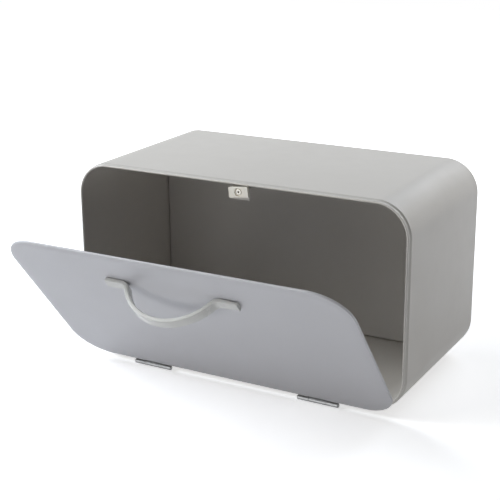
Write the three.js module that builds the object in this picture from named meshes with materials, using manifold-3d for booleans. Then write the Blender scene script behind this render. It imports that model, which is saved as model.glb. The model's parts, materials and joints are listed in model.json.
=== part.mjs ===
// Bread box: a wrapped sheet-steel body, a pressed drop-down door on two small butt hinges,
// a bent strap handle and a magnet catch under the top rim.
// Millimetres, +Z up, +X to the right of someone who faces the door, -Y towards that person.
// Inside the body frame y is 0 at the mouth's rim and z is 0 at the underside of the body.
import * as THREE from 'three';
import { mergeVertices } from 'three/addons/utils/BufferGeometryUtils.js';
import Module from 'manifold-3d';

const wasm = await Module();
wasm.setup();

// Body sleeve
const bodyWidth = 340;
const bodyDepth = 174.5;
const bodyHeight = 191;
const bodyCorner = 32;
const sheet = 0.8;

// Front rim: the sleeve steps in to a neck, and its edge is folded back as a hem
const neckStep = 1;
const neckLength = 2.8;
const shoulderLength = 2.8;
const hemThickness = 1.9;

// Rear edge of the sleeve, turned in behind the back panel
const rearRadius = 3;
const rearFlange = 8;

// Back panel, a shallow pan whose wall lies inside the sleeve
const backBend = 2.5;
const backWall = 18;

// Feet
const footRadius = 7;
const footSoleRadius = 5.8;
const footHeight = 6;
const footFromSide = 47;
const footFromFront = 34;
const footFromBack = 26;

// Door
const doorMargin = 1.6;
const doorCorner = 34;
const doorDepth = 3.2;
const doorRollWidth = 7;
const doorRollRadius = 24;
const doorEdgeRadius = 1.2;
const doorHem = 1.6;
const mouthGap = 0.3;
const openAngleDegrees = 38.6;

// Hinges
const hingeLength = 40;
const hingeSpacing = 177.4;
const middleKnuckle = 17.4;
const knuckleGap = 0.3;
const leafThickness = 1;
const boreRadius = 1.15;
const pinRadius = 0.9;
const pinHeadRadius = 1.7;
const pinHeadLength = 0.5;
const bodyLeafReach = 20;
const doorLeafReach = 20;
const crankRun = 3;
const notchHeight = 2.2;
const notchSide = 0.5;

// Handle, a flat strap bent into a bow with two feet
const handleLength = 131;
const handleRise = 28.4;
const handleBelowEdge = 36.8;
const handleOffset = -0.8;
const strapWidth = 9.8;
const strapThickness = 4;
const strapEdge = 0.9;
const bowRadius = 48.1;
const bendRadius = 8.5;

// Handle screws and washers
const screwRadius = 2;
const screwFromEnd = 8.5;
const screwHeadRadius = 3.8;
const screwHeadHeight = 2.2;
const screwTipCover = 0.8;
const recessSpan = 4.2;
const recessWidth = 0.9;
const recessDepth = 1.3;
const washerRadius = 4.9;
const washerThickness = 0.8;

// Magnet catch
const catchWidth = 19.6;
const catchHeight = 9.5;
const catchThickness = 3;
const catchOffset = 7.4;
const catchBelowRim = 0.3;
const catchTurnDegrees = 6.5;
const catchCorner = 0.8;
const catchEdge = 0.35;
const counterboreRadius = 3.8;
const counterboreDepth = 1.6;
const rivetRadius = 1.6;
const rivetHeadRadius = 2.7;
const rivetHeadHeight = 1;
const rivetMouthRadius = 0.95;
const rivetMouthDepth = 3.5;
const rivetTailRadius = 2.5;
const rivetTailHeight = 1.4;
const bracketThickness = 1;
const bracketBend = 1.6;
const bracketLeg = 12;
const bracketLip = 2.5;
const bracketAboveRivet = 3.2;
const bracketStepDegrees = 60;
const bracketBehindNeck = 0.3;

// Clearances
const seatGap = 0.3;
const runningGap = 0.3;
const cutOverrun = 2;

// Counts of facets
const cornerSteps = 10;
const rollSteps = 6;
const foldSteps = 6;
const shoulderSteps = 6;
const bowSteps = 22;
const bendSteps = 7;
const roundSides = 24;
const knuckleSides = 16;
const pinSides = 12;
const edgeSteps = 2;
const mergeDistance = 1e-5;

// Places that follow from the sizes
const bodyOutline = { width: bodyWidth, height: bodyHeight, corner: bodyCorner };
const doorWidth = bodyWidth - 2 * doorMargin;
const doorHeight = bodyHeight - 2 * doorMargin;
const doorOutline = { width: doorWidth, height: doorHeight, corner: doorCorner };
const doorFaceY = -(mouthGap + doorDepth);
const knuckleRadius = boreRadius + leafThickness;
const leafFrontDepth = doorRollRadius + seatGap - Math.sqrt(
  (doorRollRadius - sheet) ** 2 - (doorRollWidth - notchHeight) ** 2);
const pinY = doorFaceY + leafFrontDepth + leafThickness - knuckleRadius;
const pinZ = -knuckleRadius;
const openAngle = THREE.MathUtils.degToRad(openAngleDegrees);
const catchTurn = THREE.MathUtils.degToRad(catchTurnDegrees);
const bracketStep = THREE.MathUtils.degToRad(bracketStepDegrees);
const rearCentreY = bodyDepth - rearRadius;
const bracketY = neckLength + shoulderLength + bracketBehindNeck;
const screwSpacing = handleLength - 2 * screwFromEnd;
const handleAbove = doorHeight - handleBelowEdge;

// Points on an arc, both ends included
function arc(centreX, centreY, radius, from, to, steps) {
  return Array.from({ length: steps + 1 }, (_, step) => {
    const angle = from + (to - from) * step / steps;
    return new THREE.Vector2(centreX + radius * Math.cos(angle), centreY + radius * Math.sin(angle));
  });
}

// One run of points from several, without the points that two runs share
function joinRuns(...runs) {
  return runs.flat().filter((point, index, all) => index === 0
    || point.distanceTo(all[index - 1]) > mergeDistance);
}

// A round outline whose flats, not its corners, lie on the axes
function roundOutline(radius, sides) {
  const halfStep = Math.PI / sides;
  return arc(0, 0, radius, halfStep, 2 * Math.PI - halfStep, sides - 1);
}

// An indexed mesh from points and triangles, turned so that its faces point out
function closedGeometry(points, triangles) {
  const normal = new THREE.Vector3();
  const signedVolume = triangles.reduce((sum, [a, b, c]) => (
    sum + points[a].dot(normal.crossVectors(points[b], points[c]))), 0);
  const outward = signedVolume > 0 ? triangles : triangles.map(([a, b, c]) => [a, c, b]);
  const geometry = new THREE.BufferGeometry();
  const coordinates = points.flatMap((point) => point.toArray());
  geometry.setAttribute('position', new THREE.Float32BufferAttribute(coordinates, 3));
  geometry.setIndex(outward.flat());
  return geometry;
}

// A ring of points round a rounded rectangle, moved in from its edge, at one depth
function outlineRing({ width, height, corner }, inset, y) {
  const cornerSigns = [[1, 1], [-1, 1], [-1, -1], [1, -1]];
  return cornerSigns.flatMap(([sideX, sideZ], quarter) => {
    const centreX = sideX * (width / 2 - corner);
    const centreZ = height / 2 + sideZ * (height / 2 - corner);
    const from = quarter * Math.PI / 2;
    return arc(centreX, centreZ, corner - inset, from, from + Math.PI / 2, cornerSteps)
      .map((point) => new THREE.Vector3(point.x, y, point.y));
  });
}

// A section of (inset, y) points carried round an outline. A loop closes on itself, and
// any other section is closed by a flat sheet across its first ring and its last
function sweepSection(outline, section, isLoop) {
  const rings = section.map((point) => outlineRing(outline, point.x, point.y));
  const count = rings[0].length;
  const points = rings.flat();
  const triangles = [];
  const bands = isLoop ? rings.length : rings.length - 1;
  for (let band = 0; band < bands; band += 1) {
    const near = band * count;
    const far = ((band + 1) % rings.length) * count;
    for (let index = 0; index < count; index += 1) {
      const next = (index + 1) % count;
      triangles.push([near + index, near + next, far + next]);
      triangles.push([near + index, far + next, far + index]);
    }
  }
  if (!isLoop) {
    const last = rings.length - 1;
    const firstCentre = points.push(new THREE.Vector3(0, section[0].y, outline.height / 2)) - 1;
    const lastCentre = points.push(new THREE.Vector3(0, section[last].y, outline.height / 2)) - 1;
    for (let index = 0; index < count; index += 1) {
      const next = (index + 1) % count;
      triangles.push([firstCentre, next, index]);
      triangles.push([lastCentre, last * count + index, last * count + next]);
    }
  }
  return closedGeometry(points, triangles);
}

// A (y, z) outline carried along X, centred on x = 0
function extrudeAlongX(outline, length, hole) {
  const shape = new THREE.Shape(outline);
  if (hole) {
    shape.holes.push(new THREE.Path(hole));
  }
  const geometry = new THREE.ExtrudeGeometry(shape, { depth: length, bevelEnabled: false });
  geometry.translate(0, 0, -length / 2);
  const shapeAxes = [new THREE.Vector3(0, 1, 0), new THREE.Vector3(0, 0, 1), new THREE.Vector3(1, 0, 0)];
  return geometry.applyMatrix4(new THREE.Matrix4().makeBasis(...shapeAxes));
}

// A solid of revolution round Y from (radius, y) points
function turned(profile, sides) {
  return new THREE.LatheGeometry(profile.map(([radius, y]) => new THREE.Vector2(radius, y)), sides);
}

// A plain rod along Y, from y = 0 to its length
function rodAlongY(radius, length) {
  return turned([[0, 0], [radius, 0], [radius, length], [0, length]], roundSides);
}

// A box by its lowest and highest corners
function boxBetween(low, high) {
  const size = high.map((value, axis) => value - low[axis]);
  const centre = high.map((value, axis) => (value + low[axis]) / 2);
  return new THREE.BoxGeometry(...size).translate(...centre);
}

function toSolid(geometry) {
  const bare = geometry.clone();
  bare.deleteAttribute('normal');
  bare.deleteAttribute('uv');
  const merged = mergeVertices(bare, mergeDistance);
  return new wasm.Manifold(new wasm.Mesh({
    numProp: 3,
    vertProperties: new Float32Array(merged.attributes.position.array),
    triVerts: new Uint32Array(merged.index.array),
  }));
}

function toGeometry(solid) {
  const { vertProperties, triVerts } = solid.getMesh();
  const geometry = new THREE.BufferGeometry();
  geometry.setAttribute('position', new THREE.BufferAttribute(vertProperties, 3));
  geometry.setIndex(new THREE.BufferAttribute(triVerts, 1));
  return geometry;
}

function joined(first, ...others) {
  return toGeometry(others.reduce((solid, other) => solid.add(toSolid(other)), toSolid(first)));
}

function cut(first, ...cutters) {
  return toGeometry(cutters.reduce((solid, cutter) => solid.subtract(toSolid(cutter)), toSolid(first)));
}

// Materials
const finishes = {
  bodyPaint: { color: 0xc2c1bb, roughness: 0.42, metalness: 0 },
  doorPaint: { color: 0xb9b9c3, roughness: 0.4, metalness: 0 },
  handlePaint: { color: 0xcdd0c6, roughness: 0.38, metalness: 0 },
  catchCoat: { color: 0xdad7ce, roughness: 0.35, metalness: 0.1 },
  hingeSteel: { color: 0xb4b6b8, roughness: 0.32, metalness: 1 },
  screwSteel: { color: 0xc4c6c8, roughness: 0.28, metalness: 1 },
  footRubber: { color: 0x2b2b2b, roughness: 0.85, metalness: 0 },
};

function piece(name, geometry, finish) {
  const material = new THREE.MeshStandardMaterial({ ...finish, flatShading: true });
  const mesh = new THREE.Mesh(geometry, material);
  mesh.name = name;
  return mesh;
}

// Sleeve: hem, neck, ogee shoulder, plain wall and the rear edge turned in
function bodyShell() {
  const foldRadius = hemThickness / 2;
  const ogee = (level) => Array.from({ length: shoulderSteps + 1 }, (_, step) => {
    const share = step / shoulderSteps;
    const inset = level + neckStep * (1 + Math.cos(Math.PI * share)) / 2;
    return new THREE.Vector2(inset, neckLength + shoulderLength * share);
  });
  const flangeEnd = rearRadius + rearFlange;
  const section = joinRuns(
    arc(neckStep + foldRadius, foldRadius, foldRadius, 0, -Math.PI, foldSteps),
    ogee(0),
    arc(rearRadius, rearCentreY, rearRadius, Math.PI, Math.PI / 2, foldSteps),
    [new THREE.Vector2(flangeEnd, bodyDepth), new THREE.Vector2(flangeEnd, bodyDepth - sheet)],
    arc(rearRadius, rearCentreY, rearRadius - sheet, Math.PI / 2, Math.PI, foldSteps),
    ogee(sheet).reverse(),
    [new THREE.Vector2(neckStep + hemThickness, neckLength)],
  );
  return piece('body_shell', sweepSection(bodyOutline, section, true), finishes.bodyPaint);
}

// Back panel: a shallow pan pressed into the sleeve like the end of a tin, its wall turned back
// towards the sleeve's rear flange
function backPanel() {
  const wallInset = sheet + seatGap;
  const bendX = wallInset + backBend;
  const bendY = rearCentreY - backWall + backBend;
  const section = joinRuns(
    arc(bendX, bendY, backBend, -Math.PI / 2, -Math.PI, foldSteps),
    [new THREE.Vector2(wallInset, rearCentreY)],
    [new THREE.Vector2(wallInset + sheet, rearCentreY)],
    arc(bendX, bendY, backBend - sheet, -Math.PI, -Math.PI / 2, foldSteps),
  );
  return piece('back_panel', sweepSection(bodyOutline, section, false), finishes.bodyPaint);
}

// Rubber feet under the four corners
function feet() {
  const group = new THREE.Group();
  const sides = { left: -1, right: 1 };
  const rows = { front: footFromFront, rear: bodyDepth - footFromBack };
  const profile = [[0, -footHeight], [footSoleRadius, -footHeight], [footRadius, 0], [0, 0]];
  for (const [rowName, y] of Object.entries(rows)) {
    for (const [sideName, sign] of Object.entries(sides)) {
      const foot = piece(`foot_${rowName}_${sideName}`, turned(profile, roundSides), finishes.footRubber);
      foot.rotation.x = Math.PI / 2;
      foot.position.set(sign * (bodyWidth / 2 - footFromSide), y, 0);
      group.add(foot);
    }
  }
  return group;
}

// Door: a pressed panel with a soft rolled edge and a hemmed wall, notched for its hinge
// leaves and drilled for the handle. y is 0 at its face and z is 0 at its lower edge
function doorPanel() {
  const rollAngle = Math.asin((doorRollWidth - doorEdgeRadius) / (doorRollRadius - doorEdgeRadius));
  const edgeCentreY = doorRollRadius - (doorRollRadius - doorEdgeRadius) * Math.cos(rollAngle);
  const innerRadius = doorRollRadius - sheet;
  const innerAngle = Math.asin((doorRollWidth - doorHem) / innerRadius);
  const foldRadius = doorHem / 2;
  const down = -Math.PI / 2;
  const section = joinRuns(
    arc(doorRollWidth, doorRollRadius, doorRollRadius, down, down - rollAngle, rollSteps),
    arc(doorEdgeRadius, edgeCentreY, doorEdgeRadius, down - rollAngle, -Math.PI, foldSteps),
    arc(foldRadius, doorDepth - foldRadius, foldRadius, Math.PI, 0, foldSteps),
    arc(doorRollWidth, doorRollRadius, innerRadius, down - innerAngle, down, rollSteps),
  );
  const panel = sweepSection(doorOutline, section, false);
  const notchHalf = middleKnuckle / 2 + notchSide;
  const notches = [-1, 1].map((side) => {
    const x = side * hingeSpacing / 2;
    return boxBetween([x - notchHalf, -cutOverrun, -cutOverrun],
      [x + notchHalf, doorDepth + cutOverrun, notchHeight]);
  });
  const drillings = [-1, 1].map((side) => rodAlongY(screwRadius + seatGap, sheet + 2 * cutOverrun)
    .translate(handleOffset + side * screwSpacing / 2, -cutOverrun, handleAbove));
  return piece('door_panel', cut(panel, ...notches, ...drillings), finishes.doorPaint);
}

// Handle: y is 0 where its feet meet the door, and it bows towards -Y
function handle() {
  const half = strapThickness / 2;
  const bendCentreN = half + bendRadius;
  const bowCentreN = half + handleRise - bowRadius;
  const bendX = Math.sqrt((bowRadius + bendRadius) ** 2 - (bendCentreN - bowCentreN) ** 2);
  const reach = Math.asin((bendCentreN - bowCentreN) / (bowRadius + bendRadius));
  const down = -Math.PI / 2;
  const end = handleLength / 2;
  const outerSide = joinRuns(
    [new THREE.Vector2(-end, strapThickness)],
    arc(-bendX, bendCentreN, bendRadius - half, down, -reach, bendSteps),
    arc(0, bowCentreN, bowRadius + half, Math.PI - reach, reach, bowSteps),
    arc(bendX, bendCentreN, bendRadius - half, Math.PI + reach, 3 * Math.PI / 2, bendSteps),
    [new THREE.Vector2(end, strapThickness)],
  );
  const innerSide = joinRuns(
    [new THREE.Vector2(end, 0)],
    arc(bendX, bendCentreN, bendRadius + half, 3 * Math.PI / 2, Math.PI + reach, bendSteps),
    arc(0, bowCentreN, bowRadius - half, reach, Math.PI - reach, bowSteps),
    arc(-bendX, bendCentreN, bendRadius + half, -reach, down, bendSteps),
    [new THREE.Vector2(-end, 0)],
  );
  const strap = new THREE.ExtrudeGeometry(new THREE.Shape([...outerSide, ...innerSide]), {
    depth: strapWidth - 2 * strapEdge,
    bevelSize: strapEdge,
    bevelThickness: strapEdge,
    bevelOffset: -strapEdge,
    bevelSegments: edgeSteps,
  });
  strap.translate(0, 0, strapEdge - strapWidth / 2);
  strap.rotateX(Math.PI);
  const holeDepth = strapThickness - screwTipCover;
  const holes = [-1, 1].map((side) => rodAlongY(screwRadius + seatGap, holeDepth + cutOverrun)
    .translate(side * screwSpacing / 2, -holeDepth, 0));
  return piece('handle', cut(strap, ...holes), finishes.handlePaint);
}

// Pan-head screw from inside the door: y is 0 under its head, and its shank runs to -Y
function handleScrew(name) {
  const length = seatGap * 2 + washerThickness + sheet + strapThickness - screwTipCover;
  const rim = screwHeadHeight / 2;
  const profile = [[0, -length], [screwRadius, -length], [screwRadius, 0], [screwHeadRadius, 0],
    [screwHeadRadius, rim], [(screwHeadRadius + recessSpan / 2) / 2, screwHeadHeight], [0, screwHeadHeight]];
  const floorY = screwHeadHeight - recessDepth;
  const slot = (spanX, spanZ) => boxBetween([-spanX / 2, floorY, -spanZ / 2],
    [spanX / 2, screwHeadHeight + cutOverrun, spanZ / 2]);
  const head = cut(turned(profile, roundSides), slot(recessSpan, recessWidth), slot(recessWidth, recessSpan));
  return piece(name, head, finishes.screwSteel);
}

function washer(name) {
  const bore = screwRadius + seatGap;
  const profile = [[bore, 0], [washerRadius, 0], [washerRadius, washerThickness], [bore, washerThickness], [bore, 0]];
  return piece(name, turned(profile, roundSides), finishes.screwSteel);
}

// A knuckle round the X axis, centred on x = 0
function knuckle(length) {
  return extrudeAlongX(roundOutline(knuckleRadius, knuckleSides), length, roundOutline(boreRadius, knuckleSides));
}

// Leaf welded under the body: two outer knuckles, and a plate level with the knuckles' tops
function bodyLeaf(name) {
  const outerLength = (hingeLength - middleKnuckle) / 2 - knuckleGap;
  const outerX = (hingeLength - outerLength) / 2;
  const plateFront = knuckleRadius + runningGap;
  const plateTop = knuckleRadius;
  const plate = boxBetween([-hingeLength / 2, plateFront, boreRadius], [hingeLength / 2, bodyLeafReach, plateTop]);
  const parts = [-outerX, outerX].flatMap((x) => [
    knuckle(outerLength).translate(x, 0, 0),
    boxBetween([x - outerLength / 2, 0, boreRadius], [x + outerLength / 2, plateFront + leafThickness, plateTop]),
  ]);
  return piece(name, joined(plate, ...parts), finishes.hingeSteel);
}

// Leaf welded inside the door: the middle knuckle, and a plate cranked towards the door's sheet
function doorLeaf(name) {
  const front = boreRadius;
  const back = knuckleRadius;
  const crankStart = doorMargin - pinZ + doorRollWidth;
  const crankEnd = crankStart + crankRun;
  const step = leafFrontDepth - sheet - seatGap;
  const top = crankStart + doorLeafReach;
  const outline = [[front, 0], [back, 0], [back, crankStart], [back - step, crankEnd], [back - step, top],
    [front - step, top], [front - step, crankEnd], [front, crankStart]];
  const plate = extrudeAlongX(outline.map(([y, z]) => new THREE.Vector2(y, z)), middleKnuckle);
  return piece(name, joined(knuckle(middleKnuckle), plate), finishes.hingeSteel);
}

// Pin with a small head at each end
function hingePin(name) {
  const half = hingeLength / 2;
  const headStart = half + knuckleGap;
  const headEnd = headStart + pinHeadLength;
  const profile = [[0, -headEnd], [pinHeadRadius, -headEnd], [pinHeadRadius, -headStart], [pinRadius, -headStart],
    [pinRadius, headStart], [pinHeadRadius, headStart], [pinHeadRadius, headEnd], [0, headEnd]];
  return piece(name, turned(profile, pinSides).rotateZ(Math.PI / 2), finishes.hingeSteel);
}

// Catch: y runs from its front face back to the bracket, z is 0 in its middle. It hangs on one
// rivet and has turned a little on it, which lifts its upper right corner towards the rim
function catchSizes() {
  const rimInside = bodyHeight - neckStep - hemThickness;
  const top = rimInside - catchBelowRim;
  const topFromDoorEdge = bodyHeight - doorMargin - top;
  const doorInside = doorRollRadius - Math.sqrt(
    (doorRollRadius - sheet) ** 2 - (doorRollWidth - topFromDoorEdge) ** 2);
  const front = doorFaceY + doorInside + seatGap;
  const halfTurned = catchWidth / 2 * Math.sin(catchTurn) + catchHeight / 2 * Math.cos(catchTurn);
  return { front, middle: top - halfTurned, tabY: front + catchThickness };
}

function catchMagnet() {
  const halfX = catchWidth / 2 - catchEdge;
  const halfZ = catchHeight / 2 - catchEdge;
  const corners = [[1, 1], [-1, 1], [-1, -1], [1, -1]];
  const outline = corners.flatMap(([sideX, sideZ], quarter) => {
    const from = quarter * Math.PI / 2;
    const centreX = sideX * (halfX - catchCorner);
    const centreZ = sideZ * (halfZ - catchCorner);
    return arc(centreX, centreZ, catchCorner, from, from + Math.PI / 2, edgeSteps * 2);
  });
  const block = new THREE.ExtrudeGeometry(new THREE.Shape(outline), {
    depth: catchThickness - 2 * catchEdge,
    bevelSize: catchEdge,
    bevelThickness: catchEdge,
    bevelSegments: edgeSteps,
  });
  block.translate(0, 0, catchEdge - catchThickness);
  block.rotateX(Math.PI / 2);
  block.rotateY(-catchTurn);
  const bore = rodAlongY(rivetRadius + seatGap, catchThickness + 2 * cutOverrun).translate(0, -cutOverrun, 0);
  const recess = rodAlongY(counterboreRadius, counterboreDepth + cutOverrun).translate(0, -cutOverrun, 0);
  return piece('catch_magnet', cut(block, bore, recess), finishes.catchCoat);
}

// Bracket: a leg welded under the top sheet, and a tab that steps forward under the rim
// and carries the magnet
function catchBracket() {
  const { middle, tabY } = catchSizes();
  const legTop = bodyHeight - sheet;
  const innerBend = bracketBend - bracketThickness;
  const bendY = bracketY + bracketBend;
  const bendZ = legTop - bracketBend;
  const tabBottom = middle - catchHeight / 2 - bracketLip;
  const stepBottom = middle + bracketAboveRivet;
  const stepTop = stepBottom + (bracketY - tabY) / Math.tan(bracketStep);
  const mitre = bracketThickness * Math.tan(bracketStep / 2);
  const outline = joinRuns(
    [[tabY, stepBottom], [tabY, tabBottom], [tabY + bracketThickness, tabBottom],
      [tabY + bracketThickness, stepBottom - mitre], [bracketY + bracketThickness, stepTop - mitre]]
      .map(([y, z]) => new THREE.Vector2(y, z)),
    arc(bendY, bendZ, innerBend, Math.PI, Math.PI / 2, edgeSteps * 2),
    [new THREE.Vector2(bracketY + bracketLeg, legTop - bracketThickness)],
    [new THREE.Vector2(bracketY + bracketLeg, legTop)],
    arc(bendY, bendZ, bracketBend, Math.PI / 2, Math.PI, edgeSteps * 2),
    [new THREE.Vector2(bracketY, stepTop)],
  );
  const bore = rodAlongY(rivetRadius + seatGap, bracketThickness + 2 * cutOverrun)
    .translate(0, tabY - cutOverrun, middle);
  return piece('catch_bracket', cut(extrudeAlongX(outline, catchWidth), bore), finishes.bodyPaint);
}

// Hollow rivet: y is 0 at the magnet's front face
function catchRivet() {
  const seat = counterboreDepth - seatGap;
  const front = seat - rivetHeadHeight;
  const tail = catchThickness + bracketThickness + seatGap;
  const tailEnd = tail + rivetTailHeight;
  const profile = [[0, front + rivetMouthDepth], [rivetMouthRadius, front + rivetMouthDepth],
    [rivetMouthRadius, front], [rivetHeadRadius - rivetHeadHeight / 2, front],
    [rivetHeadRadius, front + rivetHeadHeight / 2], [rivetHeadRadius, seat], [rivetRadius, seat],
    [rivetRadius, tail], [rivetTailRadius, tail], [rivetTailRadius, tailEnd], [0, tailEnd]];
  return piece('catch_rivet', turned(profile, roundSides), finishes.screwSteel);
}

// Everything that stays still
function bodyAssembly() {
  const group = new THREE.Group();
  const { front, middle } = catchSizes();
  const magnet = catchMagnet();
  const rivet = catchRivet();
  const bracket = catchBracket();
  magnet.position.set(catchOffset, front, middle);
  rivet.position.set(catchOffset, front, middle);
  bracket.position.x = catchOffset;
  group.add(bodyShell(), backPanel(), feet(), magnet, rivet, bracket);
  for (const [side, sign] of Object.entries({ left: -1, right: 1 })) {
    const hinge = new THREE.Group();
    hinge.position.set(sign * hingeSpacing / 2, pinY, pinZ);
    hinge.add(bodyLeaf(`hinge_body_leaf_${side}`), hingePin(`hinge_pin_${side}`));
    group.add(hinge);
  }
  return group;
}

// Everything that swings, in a group on the pin axis, turned to the open angle
function doorAssembly() {
  const group = new THREE.Group();
  const face = new THREE.Group();
  face.position.set(0, doorFaceY - pinY, doorMargin - pinZ);
  const strap = handle();
  strap.position.set(handleOffset, -seatGap, handleAbove);
  face.add(doorPanel(), strap);
  for (const [side, sign] of Object.entries({ left: -1, right: 1 })) {
    const x = handleOffset + sign * screwSpacing / 2;
    const ring = washer(`handle_washer_${side}`);
    const screw = handleScrew(`handle_screw_${side}`);
    ring.position.set(x, sheet + seatGap, handleAbove);
    screw.position.set(x, sheet + washerThickness + 2 * seatGap, handleAbove);
    face.add(ring, screw);
    const leaf = doorLeaf(`hinge_door_leaf_${side}`);
    leaf.position.x = sign * hingeSpacing / 2;
    group.add(leaf);
  }
  group.add(face);
  group.position.set(0, pinY, pinZ);
  group.rotation.x = openAngle;
  return group;
}

// The origin is the middle of the whole part's underside, door open as photographed
const breadBox = new THREE.Group();
breadBox.add(bodyAssembly(), doorAssembly());
const bounds = new THREE.Box3().setFromObject(breadBox, true);
const middle = bounds.getCenter(new THREE.Vector3());
breadBox.position.set(-middle.x, -middle.y, -bounds.min.z);
breadBox.updateMatrixWorld(true);

export default breadBox;
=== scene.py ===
import json
import math

import bmesh
import bpy
from mathutils import Matrix, Vector


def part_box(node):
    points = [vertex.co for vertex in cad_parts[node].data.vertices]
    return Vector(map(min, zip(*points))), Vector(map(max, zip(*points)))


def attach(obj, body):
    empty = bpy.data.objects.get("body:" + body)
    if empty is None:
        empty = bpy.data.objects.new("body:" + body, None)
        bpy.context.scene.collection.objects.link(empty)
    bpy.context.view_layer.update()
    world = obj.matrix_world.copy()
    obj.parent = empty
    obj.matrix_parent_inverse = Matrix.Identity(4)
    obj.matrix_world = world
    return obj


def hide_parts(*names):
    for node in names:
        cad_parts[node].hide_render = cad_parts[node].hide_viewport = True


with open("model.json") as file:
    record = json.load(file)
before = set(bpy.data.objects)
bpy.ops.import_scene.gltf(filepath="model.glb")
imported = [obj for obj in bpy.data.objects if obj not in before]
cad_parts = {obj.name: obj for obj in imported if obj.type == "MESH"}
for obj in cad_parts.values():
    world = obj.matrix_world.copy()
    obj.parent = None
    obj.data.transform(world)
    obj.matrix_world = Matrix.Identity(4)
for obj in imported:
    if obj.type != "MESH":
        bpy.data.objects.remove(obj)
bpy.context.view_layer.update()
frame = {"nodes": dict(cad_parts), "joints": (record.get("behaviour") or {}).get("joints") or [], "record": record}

# Places from the frame, in metres
shell_low, shell_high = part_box("body_shell")
body_width = shell_high.x - shell_low.x
body_height = shell_high.z - shell_low.z
body_depth = shell_high.y - shell_low.y
body_middle = (shell_low + shell_high) / 2
hinge_joint = frame["joints"][0]
pin = Vector(hinge_joint["pos_m"])
open_angle = math.radians(-hinge_joint["range_deg"][0])
handle_low, handle_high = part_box("handle")
handle_x = (handle_low.x + handle_high.x) / 2
handle_length = handle_high.x - handle_low.x
catch_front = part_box("catch_magnet")[0].y
tab_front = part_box("catch_bracket")[0].y
rivet_low, rivet_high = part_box("catch_rivet")
rivet_x = (rivet_low.x + rivet_high.x) / 2
rivet_z = (rivet_low.z + rivet_high.z) / 2

# Body sleeve
SHEET = 0.0008
BODY_CORNER = 0.032
NECK_STEP = 0.001
NECK_LENGTH = 0.0028
SHOULDER_LENGTH = 0.0028
HEM = 0.0019
REAR_RADIUS = 0.003
REAR_FLANGE = 0.008
SEAT_GAP = 0.0003

# Back panel
BACK_BEND = 0.0025
BACK_WALL = 0.018

# Door
DOOR_MARGIN = 0.0016
DOOR_CORNER = 0.034
DOOR_DEPTH = 0.0032
DOOR_ROLL_WIDTH = 0.007
DOOR_ROLL_RADIUS = 0.024
DOOR_EDGE_RADIUS = 0.0012
DOOR_HEM = 0.0016
MOUTH_GAP = 0.0003
NOTCH_HALF = 0.0092
NOTCH_HEIGHT = 0.0022
NOTCH_CORNER = 0.0012

# Handle
HANDLE_RISE = 0.02838
HANDLE_BELOW_EDGE = 0.0368
STRAP_WIDTH = 0.0098
STRAP_THICKNESS = 0.004
STRAP_EDGE = 0.0011
STRAP_END = STRAP_EDGE / 2
BOW_RADIUS = 0.0481
BEND_RADIUS = 0.0085

# Handle screws and washers
SCREW_RADIUS = 0.002
SCREW_FROM_END = 0.0085
SCREW_HEAD_RADIUS = 0.0038
SCREW_HEAD_HEIGHT = 0.0022
SCREW_TIP_COVER = 0.0008
RECESS_SPAN = 0.0042
RECESS_WIDTH = 0.0009
RECESS_DEPTH = 0.0013
WASHER_RADIUS = 0.0049
WASHER_THICKNESS = 0.0008

# Hinges
HINGE_LENGTH = 0.04
MIDDLE_KNUCKLE = 0.0174
KNUCKLE_GAP = 0.0003
LEAF = 0.001
BORE_RADIUS = 0.00115
KNUCKLE_RADIUS = BORE_RADIUS + LEAF
PIN_RADIUS = 0.0009
PIN_HEAD_RADIUS = 0.0017
PIN_HEAD_LENGTH = 0.0005
BODY_LEAF_REACH = 0.02
DOOR_LEAF_REACH = 0.02
CRANK_RUN = 0.003
LEAF_EDGE = 0.00015

# Where a rolled leaf's end stops, as an angle round the pin
BODY_ROLL_END = math.radians(24)
DOOR_ROLL_END = math.radians(62)

# Magnet catch
CATCH_WIDTH = 0.0196
CATCH_HEIGHT = 0.0095
CATCH_THICKNESS = 0.003
CATCH_TURN = math.radians(6.5)
CATCH_CORNER = 0.0008
CATCH_EDGE = 0.00035
COUNTERBORE_RADIUS = 0.0038
COUNTERBORE_DEPTH = 0.0016
RIVET_RADIUS = 0.0016
RIVET_HEAD_RADIUS = 0.0027
RIVET_HEAD_HEIGHT = 0.001
RIVET_MOUTH_RADIUS = 0.00095
RIVET_MOUTH_DEPTH = 0.0035
RIVET_TAIL_RADIUS = 0.0025
RIVET_TAIL_HEIGHT = 0.0014
BRACKET = 0.001
BRACKET_BEND = 0.0016
BRACKET_LEG = 0.012
BRACKET_LIP = 0.0025
BRACKET_ABOVE_RIVET = 0.0032
BRACKET_STEP = math.radians(60)
BRACKET_BEHIND_NECK = 0.0003

# Feet
FOOT_RADIUS = 0.007
FOOT_SOLE_RADIUS = 0.0058
FOOT_HEIGHT = 0.006
FOOT_EDGE = 0.0008
FOOT_HOLLOW = 0.0004

# Worked out: the door's height, the handle's and its screws' places on it, and how far behind
# its face a hinge leaf clears the rolled edge over its notch
door_height = body_height - 2 * DOOR_MARGIN
handle_above = door_height - HANDLE_BELOW_EDGE
handle_aside = handle_x - body_middle.x
screw_half_spacing = handle_length / 2 - SCREW_FROM_END
leaf_front_depth = DOOR_ROLL_RADIUS + SEAT_GAP - math.sqrt(
    (DOOR_ROLL_RADIUS - SHEET) ** 2 - (DOOR_ROLL_WIDTH - NOTCH_HEIGHT) ** 2)

# Shares of edge wear, from 0 to 1
HEM_WEAR = 0.8
SHOULDER_WEAR = 0.15
NECK_WEAR = 0.1
REAR_BEND_WEAR = 0.3
REAR_EDGE_WEAR = 0.2
BACK_EDGE_WEAR = 0.3
DOOR_EDGE_WEAR = 0.5
DOOR_HEM_WEAR = 0.9

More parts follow.
